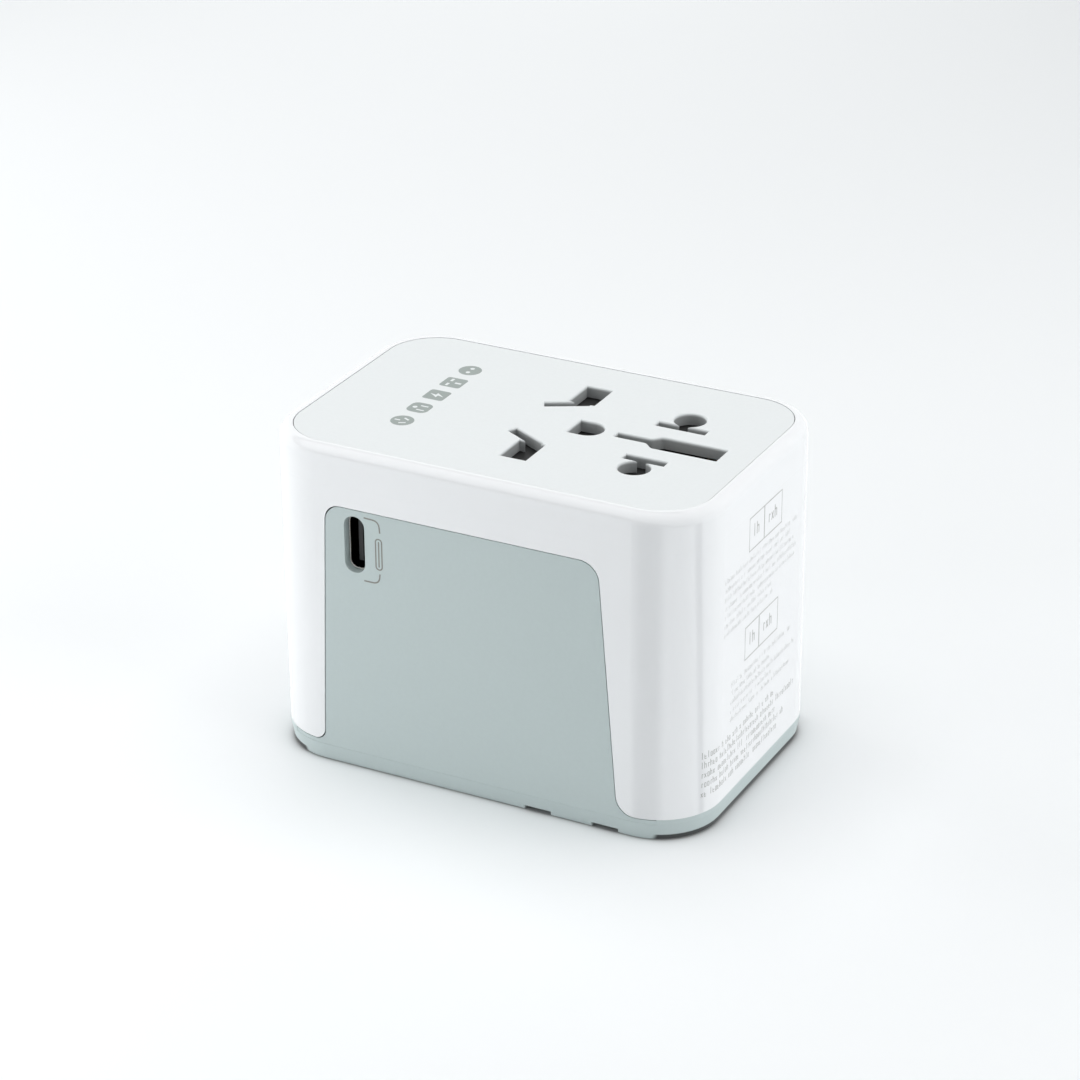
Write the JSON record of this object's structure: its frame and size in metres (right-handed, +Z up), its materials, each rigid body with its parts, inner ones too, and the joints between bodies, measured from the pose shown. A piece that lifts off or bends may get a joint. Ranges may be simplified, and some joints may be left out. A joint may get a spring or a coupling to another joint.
{
  "type": "universal travel adapter",
  "caption": "Pocket travel adapter block with a multi-country socket on top, sliding and twisting plug pins that retract into its base, and USB ports on its sides.",
  "frame": {"origin": "centre of the underside, on the surface it stands on", "axes": "+X along the long faces towards the socket end, -Y out of the front face with the single USB-C port, +Z up out of the socket face"},
  "size_m": [0.0718, 0.0472, 0.0525],
  "materials": {
    "shell_white": "glossy moulded white polycarbonate",
    "base_grey": "fine matte green-grey polycarbonate",
    "panel_grey": "fine matte pale grey polycarbonate",
    "knob_grey": "fine matte green-grey, ribbed",
    "shutter_black": "matte black nylon",
    "spring_steel": "bright drawn wire",
    "inner_plastic": "natural moulded plastic",
    "carriage_plastic": "dark moulded nylon",
    "contact_brass": "stamped phosphor bronze",
    "fuse_ceramic": "ceramic tube",
    "circuit_board": "solder-masked glass laminate",
    "ferrite": "sintered ferrite",
    "coil_tape": "yellow winding tape",
    "capacitor_sleeve": "shrink sleeve",
    "screw_steel": "nickel-plated steel",
    "port_steel": "nickel-plated steel",
    "port_tongue": "black moulded tongue",
    "pin_nickel": "nickel-plated brass",
    "pin_sleeve": "black insulating sleeve"
  },
  "bodies": {
    "housing": {"upper_shell": "shell_white", "base_shell": "base_grey", "outlet_panel": "panel_grey", "inner_frame": "inner_plastic", "live_contact": "contact_brass", "neutral_contact": "contact_brass", "earth_contact": "contact_brass", "shutter_spring": "spring_steel", "power_board": "circuit_board", "transformer_core": "ferrite", "transformer_coil": "coil_tape", "bulk_capacitors": "capacitor_sleeve", "choke": "ferrite", "fuse": "fuse_ceramic", "fuse_clips": "contact_brass", "fuse_shelf": "inner_plastic", "fuse_cover": "base_grey", "usb_board": "circuit_board", "usb_c1_shell": "port_steel", "usb_c1_tongue": "port_tongue", "usb_c2_shell": "port_steel", "usb_c2_tongue": "port_tongue", "usb_a1_shell": "port_steel", "usb_a1_tongue": "port_tongue", "usb_a2_shell": "port_steel", "usb_a2_tongue": "port_tongue", "case_screws": "screw_steel"},
    "uk_plug": {"uk_carriage": "carriage_plastic", "uk_live_pin": "pin_nickel", "uk_neutral_pin": "pin_nickel", "uk_earth_pin": "pin_nickel", "uk_pin_sleeves": "pin_sleeve", "uk_knob": "knob_grey"},
    "eu_plug": {"eu_carriage": "carriage_plastic", "eu_live_pin": "pin_nickel", "eu_neutral_pin": "pin_nickel", "eu_pin_sleeves": "pin_sleeve", "eu_knob": "knob_grey"},
    "us_plug": {"us_carriage": "carriage_plastic", "blade_retainers": "carriage_plastic", "us_knob": "knob_grey"},
    "us_live_blade": {"us_live_blade": "pin_nickel"},
    "us_neutral_blade": {"us_neutral_blade": "pin_nickel"},
    "shutter": {"shutter_plate": "shutter_black"}
  },
  "joints": [
    {"name": "uk_slide", "type": "slide", "parent": "housing", "child": "uk_plug", "axis": [0, 0, -1], "range_m": [0, 0.0229]},
    {"name": "eu_slide", "type": "slide", "parent": "housing", "child": "eu_plug", "axis": [0, 0, -1], "range_m": [0, 0.0193]},
    {"name": "us_slide", "type": "slide", "parent": "housing", "child": "us_plug", "axis": [0, 0, -1], "range_m": [0, 0.0173]},
    {"name": "live_blade_twist", "type": "hinge", "parent": "us_plug", "child": "us_live_blade", "pos_m": [0.0184, -0.00635, 0.02], "axis": [0, 0, 1], "range_deg": [-30, 0]},
    {"name": "neutral_blade_twist", "type": "hinge", "parent": "us_plug", "child": "us_neutral_blade", "pos_m": [0.0184, 0.00635, 0.02], "axis": [0, 0, 1], "range_deg": [0, 30]},
    {"name": "shutter_slide", "type": "slide", "parent": "housing", "child": "shutter", "axis": [-1, 0, 0], "range_m": [0, 0.009], "stiffness_N_per_m": 60, "springref_m": -0.003, "deforming": ["shutter_spring"]}
  ]
}
